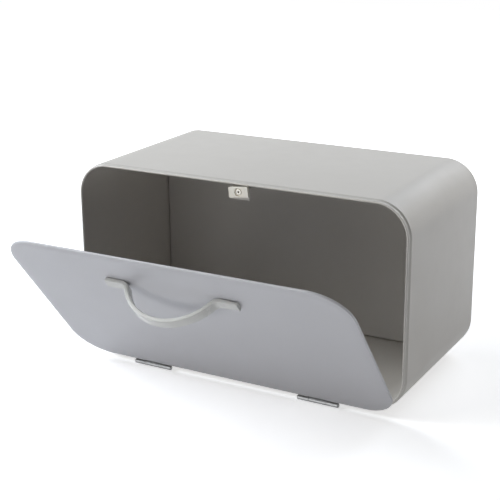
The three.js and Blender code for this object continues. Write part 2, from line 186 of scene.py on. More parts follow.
# Counts of facets
CORNER_STEPS = 28
ARC_STEPS = 10
FOLD_STEPS = 12
BOW_STEPS = 72
BEND_STEPS = 20
EDGE_STEPS = 5
ROUND_SIDES = 48
LEAF_EDGE_STEPS = 2
CATCH_EDGE_STEPS = 4

SMOOTH_ANGLE = math.radians(38)
BEVEL_ANGLE = math.radians(40)
MERGE_DISTANCE = 1e-7


# Outlines

def arc(centre_x, centre_y, radius, start, end, steps):
    """Points on an arc, both ends included."""
    angles = [start + (end - start) * step / steps for step in range(steps + 1)]
    return [(centre_x + radius * math.cos(angle), centre_y + radius * math.sin(angle)) for angle in angles]


def dome(radius, base, height, steps):
    """(radius, y) points over a dome, from its rim up to the axis."""
    angles = [math.pi / 2 * step / steps for step in range(steps + 1)]
    return [(radius * math.cos(angle), base + height * math.sin(angle)) for angle in angles]


def join_runs(*runs):
    """One run of points, without the points that two runs share."""
    points = []
    for run in runs:
        for point in run:
            if not points or math.dist(point[:2], points[-1][:2]) > MERGE_DISTANCE:
                points.append(point)
    return points


def with_wear(points, wear):
    """(inset, y) points with one share of edge wear each."""
    return [(inset, y, wear) for inset, y in points]


def outline_ring(outline, inset, y):
    """Points round a rounded rectangle, moved in from its edge, at one depth."""
    width, height, corner = outline
    ring = []
    for quarter, (side_x, side_z) in enumerate(((1, 1), (-1, 1), (-1, -1), (1, -1))):
        centre_x = side_x * (width / 2 - corner)
        centre_z = height / 2 + side_z * (height / 2 - corner)
        start = quarter * math.pi / 2
        for x, z in arc(centre_x, centre_z, corner - inset, start, start + math.pi / 2, CORNER_STEPS):
            ring.append((x, y, z))
    return ring


def rounded_box_outline(low, high, corner):
    """A rounded rectangle's points by its lowest and highest corner."""
    points = []
    for quarter, (side_x, side_z) in enumerate(((1, 1), (0, 1), (0, 0), (1, 0))):
        centre_x = high[0] - corner if side_x else low[0] + corner
        centre_z = high[1] - corner if side_z else low[1] + corner
        start = quarter * math.pi / 2
        points += arc(centre_x, centre_z, corner, start, start + math.pi / 2, EDGE_STEPS)
    return points


def round_ring(radius, y):
    """Points of one ring round Y."""
    turns = [2 * math.pi * side / ROUND_SIDES for side in range(ROUND_SIDES)]
    return [(radius * math.cos(turn), y, radius * math.sin(turn)) for turn in turns]


# Meshes

def tidy_mesh(piece):
    """Merges doubled points, turns faces outward and shades smooth up to an angle."""
    mesh = piece.data
    work = bmesh.new()
    work.from_mesh(mesh)
    bmesh.ops.remove_doubles(work, verts=work.verts, dist=MERGE_DISTANCE)
    bmesh.ops.recalc_face_normals(work, faces=work.faces)
    work.to_mesh(mesh)
    work.free()
    mesh.shade_smooth()
    mesh.set_sharp_from_angle(angle=SMOOTH_ANGLE)
    if "normals" not in piece.modifiers:
        normals = piece.modifiers.new("normals", "WEIGHTED_NORMAL")
        normals.keep_sharp = True


def mesh_object(name, points, faces, slot, worn=None):
    """A smooth-shaded mesh whose faces point out. worn is each point's share of edge wear."""
    mesh = bpy.data.meshes.new(name)
    mesh.from_pydata(points, [], faces)
    mesh.validate()
    if worn:
        attribute = mesh.attributes.new("worn", "FLOAT", "POINT")
        attribute.data.foreach_set("value", worn)
    piece = bpy.data.objects.new(name, mesh)
    bpy.context.scene.collection.objects.link(piece)
    tidy_mesh(piece)
    mesh.materials.append(materials[slot])
    return piece


def ring_band(near, far, count):
    """Quads between two rings of points, by the numbers of the rings' first points."""
    quads = []
    for index in range(count):
        following = (index + 1) % count
        quads.append((near + index, near + following, far + following, far + index))
    return quads


def skin(name, rings, is_loop, slot, worn=None):
    """A mesh over like rings of points, closed into a loop or by a face at each end."""
    count = len(rings[0])
    points = [point for ring in rings for point in ring]
    faces = []
    for index in range(len(rings) if is_loop else len(rings) - 1):
        faces += ring_band(index * count, (index + 1) % len(rings) * count, count)
    if not is_loop:
        faces.append(tuple(range(count)))
        faces.append(tuple(range(len(points) - count, len(points))))
    return mesh_object(name, points, faces, slot, worn)


def sweep_section(name, outline, section, is_loop, slot):
    """A section of (inset, y, wear) points carried round an outline."""
    rings = [outline_ring(outline, inset, y) for inset, y, _ in section]
    worn = [wear for _, _, wear in section for _ in rings[0]]
    return skin(name, rings, is_loop, slot, worn)


def turned(name, profile, slot):
    """A solid of revolution round Y from (radius, y) points that start and end on the axis."""
    points = [(0, profile[0][1], 0), (0, profile[-1][1], 0)]
    first = len(points)
    for radius, y in profile[1:-1]:
        points += round_ring(radius, y)
    last = len(points) - ROUND_SIDES
    faces = []
    for near in range(first, last, ROUND_SIDES):
        faces += ring_band(near, near + ROUND_SIDES, ROUND_SIDES)
    for side in range(ROUND_SIDES):
        following = (side + 1) % ROUND_SIDES
        faces.append((0, first + following, first + side))
        faces.append((1, last + side, last + following))
    return mesh_object(name, points, faces, slot)


def turned_ring(name, profile, slot):
    """A ring of revolution round Y from a closed loop of (radius, y) points."""
    return skin(name, [round_ring(radius, y) for radius, y in profile], True, slot)


def prism(name, start, end, slot):
    """A solid between two like outlines."""
    count = len(start)
    faces = [tuple(range(count)), tuple(range(2 * count - 1, count - 1, -1))]
    faces += ring_band(count, 0, count)
    return mesh_object(name, start + end, faces, slot)


def prism_along_x(name, outline, low_x, high_x, slot):
    """A (y, z) outline carried along X."""
    start, end = ([(x, y, z) for y, z in outline] for x in (low_x, high_x))
    return prism(name, start, end, slot)


def prism_along_y(name, outline, low_y, high_y, slot):
    """An (x, z) outline carried along Y."""
    start, end = ([(x, y, z) for x, z in outline] for y in (low_y, high_y))
    return prism(name, start, end, slot)


def rod_along_y(radius, low_y, high_y, slot):
    """A plain rod round Y, to cut with."""
    return turned("rod", [(0, low_y), (radius, low_y), (radius, high_y), (0, high_y)], slot)


def finish_mesh(piece):
    """Replaces a piece's mesh by what its modifiers make of it."""
    depsgraph = bpy.context.evaluated_depsgraph_get()
    mesh = bpy.data.meshes.new_from_object(piece.evaluated_get(depsgraph), depsgraph=depsgraph)
    piece.modifiers.clear()
    old = piece.data
    piece.data = mesh
    bpy.data.meshes.remove(old)
    mesh.name = piece.name


def cut_by(piece, *cutters):
    """Cuts the cutters out of a piece and deletes them."""
    piece.modifiers.clear()
    for cutter in cutters:
        boolean = piece.modifiers.new("cut", "BOOLEAN")
        boolean.operation = "DIFFERENCE"
        boolean.solver = "EXACT"
        boolean.object = cutter
    finish_mesh(piece)
    for cutter in cutters:
        bpy.data.objects.remove(cutter)


def bevel_edges(piece, width, segments):
    """Rounds a piece's sharp edges."""
    piece.modifiers.clear()
    bevel = piece.modifiers.new("bevel", "BEVEL")
    bevel.width = width
    bevel.segments = segments
    bevel.limit_method = "ANGLE"
    bevel.angle_limit = BEVEL_ANGLE
    finish_mesh(piece)
    tidy_mesh(piece)


def place(piece, matrix):
    """Moves a piece's mesh, so that its object stays at the origin."""
    piece.data.transform(matrix)
    piece.data.update()
    return piece


def dress(piece, body, slot, *nodes):
    """Makes a piece stand for CAD nodes and ride on their body."""
    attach(piece, body)
    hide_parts(*nodes)


# Materials. A noise is given by its waves per metre and its detail, and a bump by its height in metres.

NOISE_BAND = (0.3, 0.7)

MOTTLE = (9, 3)
MOTTLE_SHADES = (0.985, 1.015)
SPECKS = (1600, 1)
SPECK_BAND = (0.62, 0.75)
SPECK_SHARE = 0.35
SPECK_SHADE = 0.9
WEAR_PATCHES = (70, 4)
WEAR_BAND = (0.35, 0.65)
WEAR_LEAST = 0.35
WEAR_SHADE = 1.12
WEAR_POLISH = 0.08
PAINT_GLOSS = (28, 4)
PAINT_GLOSS_RANGE = (-0.035, 0.035)
SHEET_WAVE = (16, 1)
SHEET_WAVE_HEIGHT = 0.00012
ORANGE_PEEL = (850, 2)
ORANGE_PEEL_HEIGHT = 0.000012
NIBS = (420, 0)
NIB_BAND = (0.74, 0.8)
NIB_HEIGHT = 0.00003

PLATING_CLOUD = (240, 4)
PLATING_SHADES = (0.86, 1.06)
PLATING_GRAIN = (2600, 2)
PLATING_STRETCH = (0.06, 1, 1)
PLATING_GLOSS_RANGE = (-0.07, 0.1)
PLATING_GRAIN_HEIGHT = 0.000006

COAT_CLOUD = (180, 3)
COAT_SHADES = (0.95, 1.03)
COAT_GLOSS = (300, 3)
COAT_GLOSS_RANGE = (-0.05, 0.06)
COAT_PEEL = (520, 2)
COAT_PEEL_HEIGHT = 0.00003

DUST = (320, 5)
DUST_BAND = (0.5, 0.75)
DUST_SHARE = 0.5
DUST_SHADE = 3.2
RUBBER_GLOSS = (900, 2)
RUBBER_GLOSS_RANGE = (-0.06, 0.05)
RUBBER_GRAIN = (1500, 2)
RUBBER_GRAIN_HEIGHT = 0.00002


class Nodes:
    """A short way to write a material's node tree."""

    def __init__(self, name):
        self.material = bpy.data.materials.new(name)
        self.material.use_nodes = True
        self.tree = self.material.node_tree
        self.shader = self.tree.nodes["Principled BSDF"]
        self.place = self.add("ShaderNodeTexCoord").outputs["Object"]

    def add(self, kind, **settings):
        node = self.tree.nodes.new(kind)
        for key, value in settings.items():
            setattr(node, key, value)
        return node

    def link(self, source, target):
        self.tree.links.new(source, target)

    def finish(self, **sockets):
        """Links values to the shader's inputs, named with _ for a space, and gives the material."""
        for key, value in sockets.items():
            self.link(value, self.shader.inputs[key.replace("_", " ")])
        return self.material

    def noise(self, scale, detail, where=None):
        node = self.add("ShaderNodeTexNoise")
        node.inputs["Scale"].default_value = scale
        node.inputs["Detail"].default_value = detail
        self.link(where or self.place, node.inputs["Vector"])
        return node.outputs["Fac"]

    def remap(self, value, low, high, to_low, to_high):
        node = self.add("ShaderNodeMapRange")
        for key, number in zip(("From Min", "From Max", "To Min", "To Max"), (low, high, to_low, to_high)):
            node.inputs[key].default_value = number
        self.link(value, node.inputs["Value"])
        return node.outputs["Result"]

    def around(self, middle, offsets, noise):
        """A value that wanders round its middle with a noise."""
        return self.remap(noise, *NOISE_BAND, middle + offsets[0], middle + offsets[1])

    def clouded(self, colour, shades, noise):
        """A colour that wanders between two shades of itself with a noise."""
        share = self.remap(noise, *NOISE_BAND, 0, 1)
        return self.mix(share, shade(colour, shades[0]), shade(colour, shades[1]))

    def math(self, operation, first, second):
        node = self.add("ShaderNodeMath", operation=operation)
        for socket, value in zip(node.inputs, (first, second)):
            if isinstance(value, (int, float)):
                socket.default_value = value
            else:
                self.link(value, socket)
        return node.outputs["Value"]

    def mix(self, share, first, second):
        node = self.add("ShaderNodeMix", data_type="RGBA")
        self.link(share, node.inputs["Factor"])
        for key, value in (("A", first), ("B", second)):
            target = next(socket for socket in node.inputs if socket.name == key and socket.type == "RGBA")
            if isinstance(value, tuple):
                target.default_value = (*value, 1)
            else:
                self.link(value, target)
        return next(socket for socket in node.outputs if socket.type == "RGBA")

    def bump(self, height, distance, below=None):
        node = self.add("ShaderNodeBump")
        node.inputs["Distance"].default_value = distance
        self.link(height, node.inputs["Height"])
        if below:
            self.link(below, node.inputs["Normal"])
        return node.outputs["Normal"]


def shade(colour, factor):
    return tuple(min(1, channel * factor) for channel in colour)


def paint(name, colour, roughness):
    """Satin powder coat: soft mottling, fine dark specks, and edges rubbed a little lighter and
    smoother, over a faint wave of the sheet, fine orange peel and a few nibs."""
    nodes = Nodes(name)
    mottled = nodes.clouded(colour, MOTTLE_SHADES, nodes.noise(*MOTTLE))
    specks = nodes.remap(nodes.noise(*SPECKS), *SPECK_BAND, 0, SPECK_SHARE)
    specked = nodes.mix(specks, mottled, shade(colour, SPECK_SHADE))
    worn = nodes.add("ShaderNodeAttribute", attribute_name="worn").outputs["Fac"]
    patches = nodes.remap(nodes.noise(*WEAR_PATCHES), *WEAR_BAND, WEAR_LEAST, 1)
    wear = nodes.math("MULTIPLY", worn, patches)
    coat = nodes.mix(wear, specked, shade(colour, WEAR_SHADE))
    satin = nodes.around(roughness, PAINT_GLOSS_RANGE, nodes.noise(*PAINT_GLOSS))
    gloss = nodes.math("SUBTRACT", satin, nodes.math("MULTIPLY", wear, WEAR_POLISH))
    wave = nodes.bump(nodes.noise(*SHEET_WAVE), SHEET_WAVE_HEIGHT)
    peel = nodes.bump(nodes.noise(*ORANGE_PEEL), ORANGE_PEEL_HEIGHT, wave)
    nibs = nodes.remap(nodes.noise(*NIBS), *NIB_BAND, 0, 1)
    return nodes.finish(Base_Color=coat, Roughness=gloss, Normal=nodes.bump(nibs, NIB_HEIGHT, peel))


def plated(name, colour, roughness):
    """Zinc-plated steel: clouded plating over a fine drawn grain."""
    nodes = Nodes(name)
    nodes.shader.inputs["Metallic"].default_value = 1
    plating = nodes.clouded(colour, PLATING_SHADES, nodes.noise(*PLATING_CLOUD))
    stretch = nodes.add("ShaderNodeMapping")
    stretch.inputs["Scale"].default_value = PLATING_STRETCH
    nodes.link(nodes.place, stretch.inputs["Vector"])
    grain = nodes.noise(*PLATING_GRAIN, where=stretch.outputs["Vector"])
    gloss = nodes.around(roughness, PLATING_GLOSS_RANGE, grain)
    return nodes.finish(Base_Color=plating, Roughness=gloss, Normal=nodes.bump(grain, PLATING_GRAIN_HEIGHT))


def coated(name, colour, roughness):
    """A thick smooth coat over a cast block, a little clouded and uneven."""
    nodes = Nodes(name)
    coat = nodes.clouded(colour, COAT_SHADES, nodes.noise(*COAT_CLOUD))
    gloss = nodes.around(roughness, COAT_GLOSS_RANGE, nodes.noise(*COAT_GLOSS))
    peel = nodes.bump(nodes.noise(*COAT_PEEL), COAT_PEEL_HEIGHT)
    return nodes.finish(Base_Color=coat, Roughness=gloss, Normal=peel)


def rubber(name, colour, roughness):
    """Matt moulded rubber with a fine grain and a little dust."""
    nodes = Nodes(name)
    dust = nodes.remap(nodes.noise(*DUST), *DUST_BAND, 0, DUST_SHARE)
    dusty = nodes.mix(dust, colour, shade(colour, DUST_SHADE))
    gloss = nodes.around(roughness, RUBBER_GLOSS_RANGE, nodes.noise(*RUBBER_GLOSS))
    grain = nodes.bump(nodes.noise(*RUBBER_GRAIN), RUBBER_GRAIN_HEIGHT)
    return nodes.finish(Base_Color=dusty, Roughness=gloss, Normal=grain)


# Each slot's kind of surface, colour and roughness
SURFACES = {
    "body_paint": (paint, (0.622, 0.592, 0.55), 0.42),
    "door_paint": (paint, (0.54, 0.535, 0.556), 0.4),
    "handle_paint": (paint, (0.575, 0.572, 0.55), 0.28),
    # Painted light: the catch's cream is set lighter than its own colour, to stand in for the light falling on its
    # front
    "catch_coat": (coated, (0.96, 0.91, 0.81), 0.34),
    "rivet_steel": (plated, (0.7, 0.68, 0.63), 0.36),
    "hinge_steel": (plated, (0.4, 0.405, 0.41), 0.4),
    "screw_steel": (plated, (0.68, 0.69, 0.7), 0.26),
    "foot_rubber": (rubber, (0.02, 0.02, 0.02), 0.78),
}
materials = {slot: make(slot, colour, roughness) for slot, (make, colour, roughness) in SURFACES.items()}

# Every CAD node that stays visible takes its slot's material
for entry in frame["record"]["subparts"]:
    node = frame["nodes"][entry["node"]]
    node.data.materials.clear()
    node.data.materials.append(materials[entry["material_slot"]])


# Body

def body_frame():
    """From the body's own frame, y = 0 at the mouth and z = 0 underneath, to the row frame."""
    return Matrix.Translation((body_middle.x, shell_low.y, shell_low.z))


def ogee(level):
    """The shoulder's curve at one level of the sheet, from the neck back to the plain wall."""
    points = []
    for step in range(FOLD_STEPS + 1):
        share = step / FOLD_STEPS
        inset = level + NECK_STEP * (1 + math.cos(math.pi * share)) / 2
        points.append((inset, NECK_LENGTH + SHOULDER_LENGTH * share))
    return points


def body_shell():
    """The wrapped sleeve, with a hem, a neck and a shoulder at its mouth and a flange at its rear."""
    fold = HEM / 2
    rear_y = body_depth - REAR_RADIUS
    flange_end = REAR_RADIUS + REAR_FLANGE
    section = join_runs(
        with_wear(arc(NECK_STEP + fold, fold, fold, 0, -math.pi, FOLD_STEPS), HEM_WEAR),
        with_wear(ogee(0), SHOULDER_WEAR),
        with_wear([(0, 2 * (NECK_LENGTH + SHOULDER_LENGTH))], 0),
        with_wear(arc(REAR_RADIUS, rear_y, REAR_RADIUS, math.pi, math.pi / 2, ARC_STEPS), REAR_BEND_WEAR),
        with_wear([(flange_end, body_depth), (flange_end, body_depth - SHEET)], REAR_EDGE_WEAR),
        with_wear(arc(REAR_RADIUS, rear_y, REAR_RADIUS - SHEET, math.pi / 2, math.pi, ARC_STEPS), 0),
        with_wear(ogee(SHEET)[::-1], 0),
        with_wear([(NECK_STEP + HEM, NECK_LENGTH)], NECK_WEAR),
    )
    outline = (body_width, body_height, BODY_CORNER)
    piece = sweep_section("body_sleeve", outline, section, True, "body_paint")
    dress(place(piece, body_frame()), "body", "body_paint", "body_shell")


def back_panel():
    """The rear wall, a shallow pan pressed into the sleeve."""
    wall_inset = SHEET + SEAT_GAP
    rear_y = body_depth - REAR_RADIUS
    bend_x = wall_inset + BACK_BEND
    bend_y = rear_y - BACK_WALL + BACK_BEND
    edge = SHEET / 2
    section = join_runs(
        with_wear(arc(bend_x, bend_y, BACK_BEND, -math.pi / 2, -math.pi, ARC_STEPS), 0),
        with_wear(arc(wall_inset + edge, rear_y - edge, edge, math.pi, 0, EDGE_STEPS), BACK_EDGE_WEAR),
        with_wear(arc(bend_x, bend_y, BACK_BEND - SHEET, -math.pi, -math.pi / 2, ARC_STEPS), 0),
    )
    outline = (body_width, body_height, BODY_CORNER)
    piece = sweep_section("back_pan", outline, section, False, "body_paint")
    dress(place(piece, body_frame()), "body", "body_paint", "back_panel")


# Door

def swing_frame():
    """From the pin axis of the shut door to that of the open one, as photographed."""
    return Matrix.Translation(pin) @ Matrix.Rotation(open_angle, 4, "X")


def door_frame():
    """From the door's own frame, y = 0 at its face and z = 0 at its lower edge, to the row frame at rest."""
    face_y = shell_low.y - MOUTH_GAP - DOOR_DEPTH
    shut = Matrix.Translation((body_middle.x, face_y, shell_low.z + DOOR_MARGIN))
    return swing_frame() @ Matrix.Translation(-pin) @ shut


def screw_frame(side, y):
    """The door's frame moved to one screw, -1 or 1, at a height y over the door's face."""
    return door_frame() @ Matrix.Translation((handle_aside + side * screw_half_spacing, y, handle_above))


def screw_drilling(at, low_y, high_y, slot):
    """A cutter for one screw's hole."""
    return place(rod_along_y(SCREW_RADIUS + SEAT_GAP, low_y, high_y, slot), Matrix.Translation(at))


def door_notch(leaf):
    """A cutter for the gap in the door's rolled edge where a hinge's middle knuckle passes."""
    low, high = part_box(leaf)
    middle = (low.x + high.x) / 2 - body_middle.x
    low_corner = (middle - NOTCH_HALF, -DOOR_DEPTH)
    high_corner = (middle + NOTCH_HALF, NOTCH_HEIGHT)
    shape = rounded_box_outline(low_corner, high_corner, NOTCH_CORNER)
    return prism_along_y("notch", shape, -DOOR_DEPTH, 2 * DOOR_DEPTH, "door_paint")


def door_panel():
    """The pressed sheet with its rolled and hemmed edge, notched for hinges and drilled for screws."""
    edge_reach = DOOR_ROLL_RADIUS - DOOR_EDGE_RADIUS
    roll_angle = math.asin((DOOR_ROLL_WIDTH - DOOR_EDGE_RADIUS) / edge_reach)
    edge_y = DOOR_ROLL_RADIUS - edge_reach * math.cos(roll_angle)
    inner_radius = DOOR_ROLL_RADIUS - SHEET
    inner_angle = math.asin((DOOR_ROLL_WIDTH - DOOR_HEM) / inner_radius)
    fold = DOOR_HEM / 2
    down = -math.pi / 2
    roll = arc(DOOR_ROLL_WIDTH, DOOR_ROLL_RADIUS, DOOR_ROLL_RADIUS, down, down - roll_angle, FOLD_STEPS)
    edge = arc(DOOR_EDGE_RADIUS, edge_y, DOOR_EDGE_RADIUS, down - roll_angle, -math.pi, ARC_STEPS)
    hem = arc(fold, DOOR_DEPTH - fold, fold, math.pi, 0, FOLD_STEPS)
    inside = arc(DOOR_ROLL_WIDTH, DOOR_ROLL_RADIUS, inner_radius, down - inner_angle, down, FOLD_STEPS)
    section = join_runs(
        with_wear(roll, 0),
        with_wear(edge, DOOR_EDGE_WEAR),
        with_wear(hem, DOOR_HEM_WEAR),
        with_wear(inside, 0),
    )
    outline = (body_width - 2 * DOOR_MARGIN, door_height, DOOR_CORNER)
    piece = sweep_section("door_pan", outline, section, False, "door_paint")
    cutters = [door_notch("hinge_door_leaf_left"), door_notch("hinge_door_leaf_right")]
    for side in (-1, 1):
        at = (handle_aside + side * screw_half_spacing, 0, handle_above)
        cutters.append(screw_drilling(at, -DOOR_DEPTH, DOOR_DEPTH, "door_paint"))
    cut_by(piece, *cutters)
    tidy_mesh(piece)
    dress(place(piece, door_frame()), "door", "door_paint", "door_panel")


# Handle, in a frame with x = 0 at its middle, y = 0 at the door's face and the strap on the -Y side

def handle_path():
    """(x, rise, direction) along the strap's middle line: foot, bend, bow, bend, foot."""
    half = STRAP_THICKNESS / 2
    bend_rise = half + BEND_RADIUS
    bow_rise = half + HANDLE_RISE - BOW_RADIUS
    both_radii = BOW_RADIUS + BEND_RADIUS
    bend_x = math.sqrt(both_radii ** 2 - (bend_rise - bow_rise) ** 2)
    turn = math.pi / 2 - math.asin((bend_rise - bow_rise) / both_radii)
    left = [(-handle_length / 2, half, 0)]
    for step in range(BEND_STEPS + 1):
        angle = turn * step / BEND_STEPS
        x = -bend_x + BEND_RADIUS * math.sin(angle)
        left.append((x, bend_rise - BEND_RADIUS * math.cos(angle), angle))
    bow = []
    for step in range(1, BOW_STEPS):
        angle = turn - 2 * turn * step / BOW_STEPS
        bow.append((-BOW_RADIUS * math.sin(angle), bow_rise + BOW_RADIUS * math.cos(angle), angle))
    right = [(-x, rise, -direction) for x, rise, direction in reversed(left)]
    return left + bow + right


def strap_section(shrink):
    """The strap's rounded section as (along, across) points, drawn in by a length."""
    width = STRAP_WIDTH / 2 - shrink
    thickness = STRAP_THICKNESS / 2 - shrink
    return rounded_box_outline((-width, -thickness), (width, thickness), STRAP_EDGE)


def rounded_end(tip, inward):
    """Stations (x, rise, direction, shrink) that round over one end, from its tip inwards."""
    x, rise, direction = tip
    stations = []
    for step in range(EDGE_STEPS, -1, -1):
        angle = math.pi / 2 * step / EDGE_STEPS
        shrink = STRAP_END * (1 - math.cos(angle))
        stations.append((x + inward * STRAP_END * (1 - math.sin(angle)), rise, direction, shrink))
    return stations


def handle():
    """The strap, with both ends rounded over. The right end's stations run from its tip inwards as
    the left end's do, so that end tapers and then folds back by STRAP_END, and the strap's faces
    point in instead of out."""
    path = handle_path()
    middle = [(*point, 0) for point in path[1:-1]]
    rings = []
    worn = []
    for x, rise, direction, shrink in rounded_end(path[0], 1) + middle + rounded_end(path[-1], -1):
        ring = []
        for along, across in strap_section(shrink):
            at_x = x - across * math.sin(direction)
            at_rise = rise + across * math.cos(direction)
            ring.append((at_x, -SEAT_GAP - at_rise, handle_above + along))
            worn.append(abs(along) / (STRAP_WIDTH / 2) * abs(across) / (STRAP_THICKNESS / 2))
        rings.append(ring)
    piece = skin("handle_strap", rings, False, "handle_paint", worn)
    drillings = []
    for side in (-1, 1):
        at = (side * screw_half_spacing, -SEAT_GAP, handle_above)
        tip_y = SCREW_TIP_COVER - STRAP_THICKNESS
        drillings.append(screw_drilling(at, tip_y, STRAP_THICKNESS, "handle_paint"))
    cut_by(piece, *drillings)
    tidy_mesh(piece)
    at_handle = Matrix.Translation((handle_aside, 0, 0))
    dress(place(piece, door_frame() @ at_handle), "door", "handle_paint", "handle")


def handle_screw(name, side):
    """A pan-head screw with a cross recess, put through the door from inside."""
    shank = 2 * SEAT_GAP + WASHER_THICKNESS + SHEET + STRAP_THICKNESS - SCREW_TIP_COVER
    tip = SCREW_RADIUS / 4
    crown = SCREW_HEAD_RADIUS / 4
    profile = [
        (0, -shank), (SCREW_RADIUS - tip, -shank), (SCREW_RADIUS, tip - shank), (SCREW_RADIUS, 0),
        (SCREW_HEAD_RADIUS, 0), *dome(SCREW_HEAD_RADIUS, SCREW_HEAD_HEIGHT - crown, crown, ARC_STEPS),
    ]
    screw = turned(f"screw_{name}", profile, "screw_steel")
    cutters = []
    for span_x, span_z in ((RECESS_SPAN, RECESS_WIDTH), (RECESS_WIDTH, RECESS_SPAN)):
        shape = rounded_box_outline((-span_x / 2, -span_z / 2), (span_x / 2, span_z / 2), RECESS_WIDTH / 4)
        floor_y = SCREW_HEAD_HEIGHT - RECESS_DEPTH
        cutters.append(prism_along_y("recess", shape, floor_y, 2 * SCREW_HEAD_HEIGHT, "screw_steel"))
    cut_by(screw, *cutters)
    tidy_mesh(screw)
    place(screw, screw_frame(side, SHEET + WASHER_THICKNESS + 2 * SEAT_GAP))
    dress(screw, "door", "screw_steel", f"handle_screw_{name}")


def handle_washer(name, side):
    """A plain washer with chamfered edges, between a screw's head and the door's sheet."""
    edge = WASHER_THICKNESS / 4
    bore = SCREW_RADIUS + SEAT_GAP
    ring = [
        (bore, edge), (bore + edge, 0), (WASHER_RADIUS - edge, 0), (WASHER_RADIUS, edge),
        (WASHER_RADIUS, WASHER_THICKNESS - edge), (WASHER_RADIUS - edge, WASHER_THICKNESS),
        (bore + edge, WASHER_THICKNESS), (bore, WASHER_THICKNESS - edge),
    ]
    washer = turned_ring(f"washer_{name}", ring, "screw_steel")
    place(washer, screw_frame(side, SHEET + SEAT_GAP))
    dress(washer, "door", "screw_steel", f"handle_washer_{name}")


# Hinges, in frames whose origin is the pin's middle

def rolled_knuckle(start, end):
    """A leaf's end rolled round the pin, from its outer face round to its inner one."""
    outer = arc(0, 0, KNUCKLE_RADIUS, start, end, ROUND_SIDES)
    inner = arc(0, 0, BORE_RADIUS, end, start, ROUND_SIDES)
    return join_runs(outer, inner)


def hinge_body_leaf(name, centre):
    """Two outer knuckles and the plate welded under the body."""
    half = HINGE_LENGTH / 2
    roll = rolled_knuckle(math.pi / 2, 2 * math.pi + BODY_ROLL_END)
    outline = [(BODY_LEAF_REACH, KNUCKLE_RADIUS), *roll, (BODY_LEAF_REACH, BORE_RADIUS)]
    leaf = prism_along_x(name, outline, -half, half, "hinge_steel")
    gap_half = MIDDLE_KNUCKLE / 2 + KNUCKLE_GAP
    reach = KNUCKLE_RADIUS + KNUCKLE_GAP
    gap_shape = [(-reach, -reach), (reach, -reach), (reach, reach), (-reach, reach)]
    cut_by(leaf, prism_along_x("gap", gap_shape, -gap_half, gap_half, "hinge_steel"))
    bevel_edges(leaf, LEAF_EDGE, LEAF_EDGE_STEPS)
    dress(place(leaf, Matrix.Translation(centre)), "body", "hinge_steel", name)


def hinge_door_leaf(name, centre):
    """The middle knuckle and the plate cranked towards the door's sheet."""
    front = BORE_RADIUS
    back = KNUCKLE_RADIUS
    crank_start = DOOR_MARGIN + KNUCKLE_RADIUS + DOOR_ROLL_WIDTH
    crank_end = crank_start + CRANK_RUN
    step = leaf_front_depth - SHEET - SEAT_GAP
    top = crank_start + DOOR_LEAF_REACH
    roll = rolled_knuckle(0, DOOR_ROLL_END - 2 * math.pi)
    outline = [
        (back - step, top), (back - step, crank_end), (back, crank_start), *roll,
        (front, crank_start), (front - step, crank_end), (front - step, top),
    ]
    half = MIDDLE_KNUCKLE / 2
    leaf = prism_along_x(name, outline, -half, half, "hinge_steel")
    bevel_edges(leaf, LEAF_EDGE, LEAF_EDGE_STEPS)
    aside = Matrix.Translation((centre.x - pin.x, 0, 0))
    dress(place(leaf, swing_frame() @ aside), "door", "hinge_steel", name)


def hinge_pin(name, centre):
    """A pin with a small domed head at each end."""
    start = HINGE_LENGTH / 2 + KNUCKLE_GAP
    crown = PIN_HEAD_LENGTH / 2
    head = dome(PIN_HEAD_RADIUS, start + PIN_HEAD_LENGTH - crown, crown, EDGE_STEPS)
    half = [(PIN_RADIUS, start), (PIN_HEAD_RADIUS, start), *head]
    profile = [(radius, -along) for radius, along in reversed(half)] + half
    piece = turned(name, profile, "hinge_steel")
    turn = Matrix.Rotation(-math.pi / 2, 4, "Z")
    dress(place(piece, Matrix.Translation(centre) @ turn), "body", "hinge_steel", name)


# Magnet catch, in a frame whose origin is on the rivet's axis at the magnet's front

def catch_frame():
    """From the catch's frame to the row frame."""
    return Matrix.Translation((rivet_x, catch_front, rivet_z))


def catch_magnet():
    """A rounded block with a counterbored hole, turned a little on its rivet."""
    half = (CATCH_WIDTH / 2, CATCH_HEIGHT / 2)
    outline = rounded_box_outline((-half[0], -half[1]), half, CATCH_CORNER)
    piece = prism_along_y("catch_block", outline, 0, CATCH_THICKNESS, "catch_coat")
    recess = rod_along_y(COUNTERBORE_RADIUS, -CATCH_THICKNESS, COUNTERBORE_DEPTH, "catch_coat")
    bore = rod_along_y(RIVET_RADIUS + SEAT_GAP, -CATCH_THICKNESS, 2 * CATCH_THICKNESS, "catch_coat")
    cut_by(piece, recess, bore)
    bevel_edges(piece, CATCH_EDGE, CATCH_EDGE_STEPS)
    turn = Matrix.Rotation(-CATCH_TURN, 4, "Y")
    dress(place(piece, catch_frame() @ turn), "body", "catch_coat", "catch_magnet")


